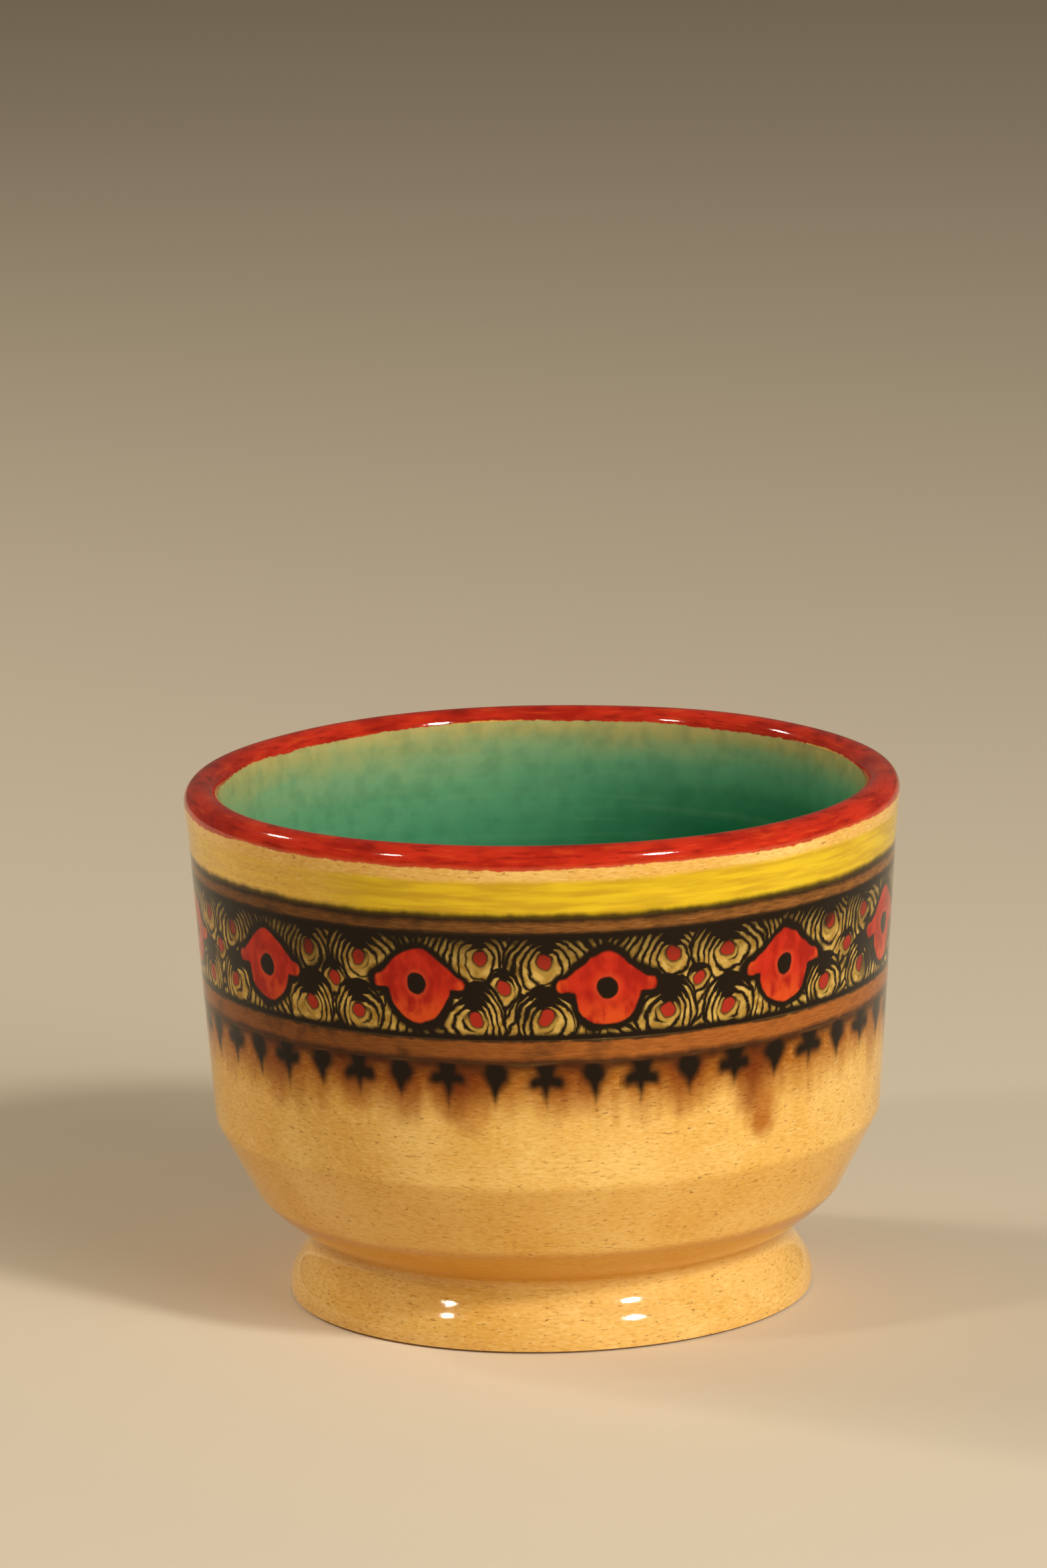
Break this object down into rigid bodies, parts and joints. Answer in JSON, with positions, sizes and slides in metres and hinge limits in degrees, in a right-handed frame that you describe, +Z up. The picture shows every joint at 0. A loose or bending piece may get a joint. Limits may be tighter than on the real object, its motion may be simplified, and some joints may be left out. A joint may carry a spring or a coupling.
{
  "type": "footed ceramic cup",
  "caption": "Handleless footed earthenware cup with a steep wall, faceted belly and flared foot ring, red lip, green inside and a painted border of florets and pendants.",
  "frame": {"origin": "on the table under the middle of the foot ring", "axes": "+Z up along the axis that the cup was turned about; -Y is the side that the picture shows"},
  "size_m": [0.0924, 0.0924, 0.068],
  "materials": {
    "earthenware": "bare fired clay, matt and slightly sandy",
    "slip": "fired slip, under the glaze of the neck",
    "green_glaze": "glossy green glaze that thins to ochre under the lip",
    "red_glaze": "glossy brushed red under clear glaze",
    "yellow_glaze": "glossy ochre with a brushed yellow stripe",
    "brown_glaze": "glossy brown border with a soft dark edge",
    "frieze_glaze": "glossy khaki ground painted with black scrolls and red florets",
    "amber_glaze": "glossy clear amber glaze over pale clay with fine dark flecks"
  },
  "bodies": {
    "root": {"bowl_body": "earthenware", "foot_ring": "earthenware", "luting_slip": "slip", "lining_glaze": "green_glaze", "lip_glaze": "red_glaze", "yellow_band": "yellow_glaze", "upper_border": "brown_glaze", "floret_frieze": "frieze_glaze", "lower_border": "brown_glaze", "pendant_fringe": "amber_glaze", "belly_glaze": "amber_glaze", "foot_glaze": "amber_glaze"}
  },
  "joints": []
}
